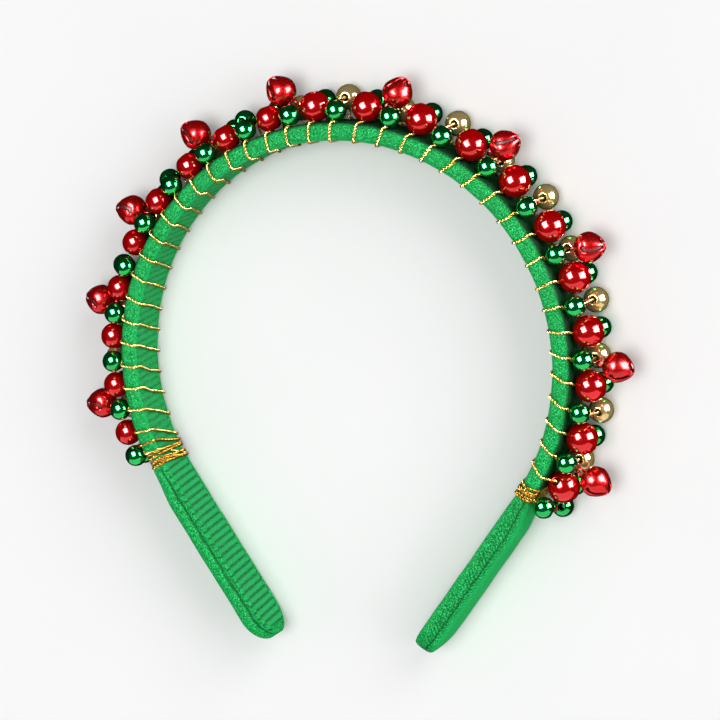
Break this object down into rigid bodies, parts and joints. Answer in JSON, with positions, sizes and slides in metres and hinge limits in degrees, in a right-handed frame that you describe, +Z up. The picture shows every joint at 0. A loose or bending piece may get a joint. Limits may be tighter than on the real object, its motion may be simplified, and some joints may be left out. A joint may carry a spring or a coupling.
{
  "type": "christmas headband",
  "caption": "Padded green headband lined with ribbed ribbon, its outside bound with gold thread that carries rows of red, green and gold beads and small red jingle bells.",
  "frame": {"origin": "middle of the floor rectangle that the headband covers when it lies on its long edge", "axes": "+Y towards the crown of the arch, +X across to the right leg, +Z up across the width of the band"},
  "size_m": [0.1602, 0.158, 0.0165],
  "materials": {
    "cloth": "fine glittering velvet",
    "ribbon": "ribbed grosgrain",
    "gold_thread": "twisted metallic thread",
    "red_bead": "glossy lacquer",
    "green_bead": "metallic lacquer",
    "gold_bead": "champagne metal plating",
    "red_bell": "glossy red lacquer on sheet metal"
  },
  "bodies": {
    "root": {"band_cover": "cloth", "ribbon_lining": "ribbon", "binding_left": "gold_thread", "binding_right": "gold_thread", "green_bead_crown": "green_bead", "red_bead_left_1": "red_bead", "green_bead_left_1": "green_bead", "red_bead_left_2": "red_bead", "green_bead_left_2": "green_bead", "red_bead_left_3": "red_bead", "green_bead_left_3": "green_bead", "red_bead_left_4": "red_bead", "green_bead_left_4": "green_bead", "red_bead_left_5": "red_bead", "green_bead_left_5": "green_bead", "red_bead_left_6": "red_bead", "green_bead_left_6": "green_bead", "red_bead_left_7": "red_bead", "green_bead_left_7": "green_bead", "red_bead_left_8": "red_bead", "green_bead_left_8": "green_bead", "red_bead_left_9": "red_bead", "green_bead_left_9": "green_bead", "red_bead_left_10": "red_bead", "green_bead_left_10": "green_bead", "far_row_left": "gold_bead", "bell_left_1": "red_bell", "bell_left_2": "red_bell", "bell_left_3": "red_bell", "bell_left_4": "red_bell", "bell_left_5": "red_bell", "red_bead_right_1": "red_bead", "green_bead_right_1": "green_bead", "red_bead_right_2": "red_bead", "green_bead_right_2": "green_bead", "red_bead_right_3": "red_bead", "green_bead_right_3": "green_bead", "red_bead_right_4": "red_bead", "green_bead_right_4": "green_bead", "red_bead_right_5": "red_bead", "green_bead_right_5": "green_bead", "red_bead_right_6": "red_bead", "green_bead_right_6": "green_bead", "red_bead_right_7": "red_bead", "green_bead_right_7": "green_bead", "red_bead_right_8": "red_bead", "green_bead_right_8": "green_bead", "red_bead_right_9": "red_bead", "green_bead_right_9": "green_bead", "red_bead_right_10": "red_bead", "green_bead_right_10": "green_bead", "far_row_right": "gold_bead", "bell_right_1": "red_bell", "bell_right_2": "red_bell", "bell_right_3": "red_bell", "bell_right_4": "red_bell", "bell_right_5": "red_bell"}
  },
  "joints": []
}
